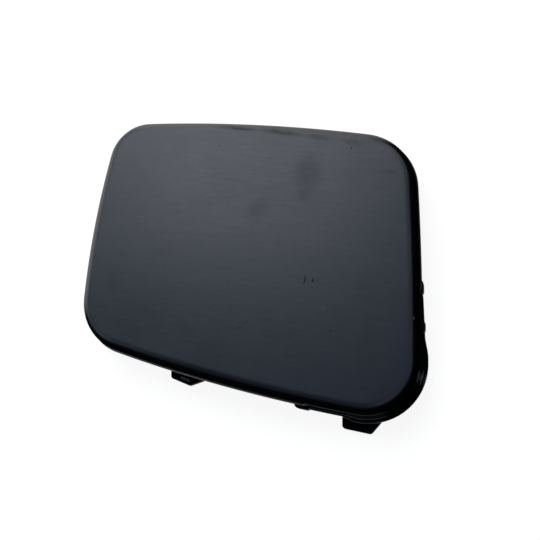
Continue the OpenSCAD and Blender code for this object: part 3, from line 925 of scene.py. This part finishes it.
class Nodes:
    """Short hands for a material's nodes."""

    def __init__(self, name):
        self.material = bpy.data.materials.new(name)
        self.material.use_nodes = True
        self.tree = self.material.node_tree
        self.tree.nodes.clear()

    def new(self, kind, **settings):
        node = self.tree.nodes.new("ShaderNode" + kind)
        for key, value in settings.items():
            setattr(node, key, value)
        return node

    def link(self, source, target):
        self.tree.links.new(source, target)

    def feed(self, socket, value):
        if isinstance(value, bpy.types.NodeSocket):
            self.link(value, socket)
        else:
            socket.default_value = value

    def maths(self, operation, a, b):
        node = self.new("Math", operation=operation)
        self.feed(node.inputs[0], a)
        self.feed(node.inputs[1], b)
        return node.outputs[0]

    def between(self, value, low, high, out_low=0.0, out_high=1.0):
        """A smooth step from one pair of values to another."""
        node = self.new("MapRange", interpolation_type="SMOOTHSTEP")
        for k, v in enumerate((value, low, high, out_low, out_high)):
            self.feed(node.inputs[k], v)
        return node.outputs[0]

    def blend(self, share, a, b):
        node = self.new("Mix", data_type="RGBA")
        self.feed(node.inputs[0], share)
        self.feed(node.inputs[6], a)
        self.feed(node.inputs[7], b)
        return node.outputs[2]

    def placed(self, vector, at=(0, 0, 0), turn=0.0, scale=(1, 1, 1)):
        """Object coordinates seen from a place on the cover, turned and stretched."""
        node = self.new("Mapping", vector_type="TEXTURE")
        self.link(vector, node.inputs[0])
        node.inputs[1].default_value = at
        node.inputs[2].default_value = (0, 0, turn)
        node.inputs[3].default_value = scale
        return node.outputs[0]

    def noise(self, vector, scale, detail, rough, warp=0.0):
        node = self.new("TexNoise")
        self.link(vector, node.inputs["Vector"])
        node.inputs["Scale"].default_value = scale
        node.inputs["Detail"].default_value = detail
        node.inputs["Roughness"].default_value = rough
        node.inputs["Distortion"].default_value = warp
        return node.outputs[0]

    def spot(self, vector, at, size, turn, soft):
        """1 inside an ellipse of half axes size round a place, falling to 0 at its rim."""
        local = self.placed(vector, (*at, 0), turn, (*size, 1))
        flat = self.new("VectorMath", operation="MULTIPLY")
        self.link(local, flat.inputs[0])
        flat.inputs[1].default_value = (1, 1, 0)
        length = self.new("VectorMath", operation="LENGTH")
        self.link(flat.outputs[0], length.inputs[0])
        return self.between(length.outputs["Value"], 1.0 - soft, 1.0, 1.0, 0.0)


def satin_charcoal():
    """Satin charcoal moulded plastic. Its colour drifts in broad patches; its gloss has
    fine streaks along the cover, a mottling, and the dull smudges and scratches. The
    sheen attribute lowers gloss and darkens colour to black towards the walls, painted
    shade that is stronger on the right and lower sides, and the painted light attribute
    lightens the ledges to grey, painted highlight lines. A fine grain and the streaks
    make the bump."""
    m = Nodes("satin_charcoal")
    where = m.new("TexCoord").outputs["Object"]
    sheen_and_shade = m.new("Attribute", attribute_name="sheen_and_shade").outputs["Fac"]
    painted_light = m.new("Attribute", attribute_name="painted_light").outputs["Fac"]

    streaks = m.noise(m.placed(where, scale=STREAK_SIZE), 1.0, detail=3.0, rough=0.6)
    patches = m.noise(where, PATCH_SCALE, detail=4.0, rough=0.55, warp=0.4)
    grain = m.noise(where, GRAIN_SCALE, detail=2.0, rough=0.5)
    mottle = m.noise(m.placed(where, scale=MOTTLE_SIZE), 1.0, detail=3.0, rough=0.6)

    def marks(spots):
        """A mask for each spot, as strong as it says."""
        for at, size, turn, soft, strength in spots:
            yield m.maths("MULTIPLY", m.spot(where, at, size, turn, soft), strength)

    base = m.blend(m.between(patches, 0.3, 0.7), DARK, PALE)
    # Painted highlight lines in light grey, then painted shade towards black where the sheen
    # is low
    painted_lines = m.blend(m.maths("MINIMUM", painted_light, 1.0), base, PAINTED_LIGHT_GREY)
    with_painted_shade = m.blend(sheen_and_shade, PAINTED_SHADE_BLACK, painted_lines)

    dull = 0.0
    for mask in marks(SMUDGES):
        dull = m.maths("MAXIMUM", dull, mask)
    dull = m.maths("MULTIPLY", dull, m.between(mottle, 0.3, 0.65, 0.25, 1.0))
    for mask in marks(SCRATCHES):
        dull = m.maths("MAXIMUM", dull, mask)
    marked = m.blend(dull, with_painted_shade, SMUDGE)
    for mask in marks(NICKS):
        marked = m.blend(mask, marked, NICK)

    shader = m.new("BsdfPrincipled")
    m.link(marked, shader.inputs["Base Color"])
    rough = m.between(patches, 0.25, 0.75, ROUGH - ROUGH_LESS, ROUGH + ROUGH_MORE)
    rough = m.maths("ADD", rough, m.maths("MULTIPLY", dull, DULL_ROUGH))
    m.link(rough, shader.inputs["Roughness"])
    streaky = m.between(streaks, 0.2, 0.8, *(GLOSS * share for share in STREAK_GLOSS))
    gloss = m.maths("MULTIPLY", sheen_and_shade, streaky)
    gloss = m.maths("MULTIPLY", gloss, m.between(mottle, 0.25, 0.75, *MOTTLE_GLOSS))
    gloss = m.maths("MULTIPLY", gloss, m.maths("SUBTRACT", 1.0, dull))
    m.link(gloss, shader.inputs["Specular IOR Level"])
    bump = m.new("Bump")
    bump.inputs["Strength"].default_value = BUMP_STRENGTH
    bump.inputs["Distance"].default_value = BUMP_DEPTH
    height = m.maths("ADD", grain, m.maths("MULTIPLY", streaks, STREAK_BUMP))
    m.link(height, bump.inputs["Height"])
    m.link(bump.outputs[0], shader.inputs["Normal"])
    m.link(shader.outputs[0], m.new("OutputMaterial").inputs[0])
    return m.material


def pale_floor():
    """A pale matt floor that shows nearly white and keeps the cover's soft shadow. Its
    glow is there for camera, glossy and transmission rays alone, so it lights nothing."""
    m = Nodes("pale_floor")
    matt = m.new("BsdfDiffuse")
    matt.inputs["Color"].default_value = (FLOOR_MATT,) * 3 + (1,)
    glow = m.new("Emission")
    path = m.new("LightPath")
    seen = m.maths("MAXIMUM", path.outputs["Is Camera Ray"], path.outputs["Is Glossy Ray"])
    seen = m.maths("MAXIMUM", seen, path.outputs["Is Transmission Ray"])
    m.link(m.maths("MULTIPLY", seen, FLOOR_GLOW), glow.inputs["Strength"])
    both = m.new("AddShader")
    m.link(matt.outputs[0], both.inputs[0])
    m.link(glow.outputs[0], both.inputs[1])
    m.link(both.outputs[0], m.new("OutputMaterial").inputs[0])
    return m.material


# Room


def studio_floor():
    """Floor and backdrop in one, as rings about the middle: a flat disc, a cove that
    turns up as a quarter circle, and an upright wall."""
    turn = np.radians(np.linspace(0, 90, COVE_STEPS))
    r = np.concatenate([[FLOOR_RING], FLOOR_R + COVE_R * np.sin(turn), [FLOOR_R + COVE_R]])
    z = np.concatenate([[0.0], COVE_R * (1 - np.cos(turn)), [BACKDROP_H]])
    around = np.radians(np.arange(0, 360, AROUND_STEP))
    rings = polar(r[:, None], around[None])
    height = np.broadcast_to(z[:, None, None], (*rings.shape[:2], 1))
    points = np.concatenate([rings, height], -1).reshape(-1, 3)
    points = np.concatenate([points, [[0.0, 0.0, 0.0]]])
    n = len(around)
    faces = ring_faces(len(r), n)[:, ::-1].tolist() + fan(len(points) - 1, 0, n).tolist()
    mesh = bpy.data.meshes.new("floor")
    mesh.from_pydata(points.tolist(), [], faces)
    mesh.materials.append(pale_floor())
    mesh.shade_smooth()
    floor = bpy.data.objects.new("floor", mesh)
    bpy.context.scene.collection.objects.link(floor)
    return floor


def aimed(direction):
    """Right, up and back of something that stands in a direction and looks back at the
    middle: the cross products of that direction with +Y and with their result."""
    back = np.array(direction, float)
    back /= np.linalg.norm(back)
    right = np.cross((0.0, 1.0, 0.0), back)
    right /= np.linalg.norm(right)
    return right, np.cross(back, right), back


def matrix(right, up, back, place):
    """A placing matrix from three directions and a place."""
    rows = np.stack([right, up, back, place], 1).tolist()
    return Matrix(rows + [[0, 0, 0, 1]])


def softbox(name, direction, distance, size, glow, colour):
    """A rectangular soft light that looks at the cover from a direction. Its power is
    its area times pi times the glow that a mirror would show."""
    lamp = bpy.data.lights.new(name, "AREA")
    lamp.shape = "RECTANGLE"
    lamp.size, lamp.size_y = size
    lamp.energy = np.pi * size[0] * size[1] * glow
    lamp.color = colour
    obj = bpy.data.objects.new(name, lamp)
    bpy.context.scene.collection.objects.link(obj)
    right, up, back = aimed(direction)
    obj.matrix_world = matrix(right, up, back, back * distance)


# The cover: one moulding

moulding = Moulding()
add_shell(moulding)
add_flange(moulding)
for across, offset in ((False, -RIB_X), (False, RIB_X), (True, 0.0)):
    add_rib(moulding, across, offset)
add_hook(moulding, **HOOK_LEFT, ridge=True)
add_hook(moulding, **HOOK_RIGHT, ridge=False)
for edge, at in CLIPS:
    add_clip(moulding, edge, at)
for edge, at, w, out in STOPS:
    add_stop(moulding, edge, at, w, out)
cover = moulding.make("cover_moulding", satin_charcoal())
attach(cover, "root")
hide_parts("cover")

# Floor, light and camera

studio_floor()
for light in LIGHTS:
    softbox(*light)

world = bpy.data.worlds.new("studio")
world.use_nodes = True
sky = world.node_tree.nodes["Background"]
sky.inputs["Color"].default_value = SKY_COLOUR
sky.inputs["Strength"].default_value = SKY_STRENGTH
bpy.context.scene.world = world

scene = bpy.context.scene
scene.view_settings.view_transform = "Standard"
lens = bpy.data.cameras.new("camera")
lens.sensor_fit = "HORIZONTAL"
lens.sensor_width = SENSOR_WIDTH
lens.lens = FOCAL_LENGTH
lens.clip_start = NEAR_CLIP
camera = bpy.data.objects.new("camera", lens)
scene.collection.objects.link(camera)
camera.matrix_world = matrix(CAMERA_RIGHT, CAMERA_UP, CAMERA_BACK, CAMERA_AT)
scene.camera = camera
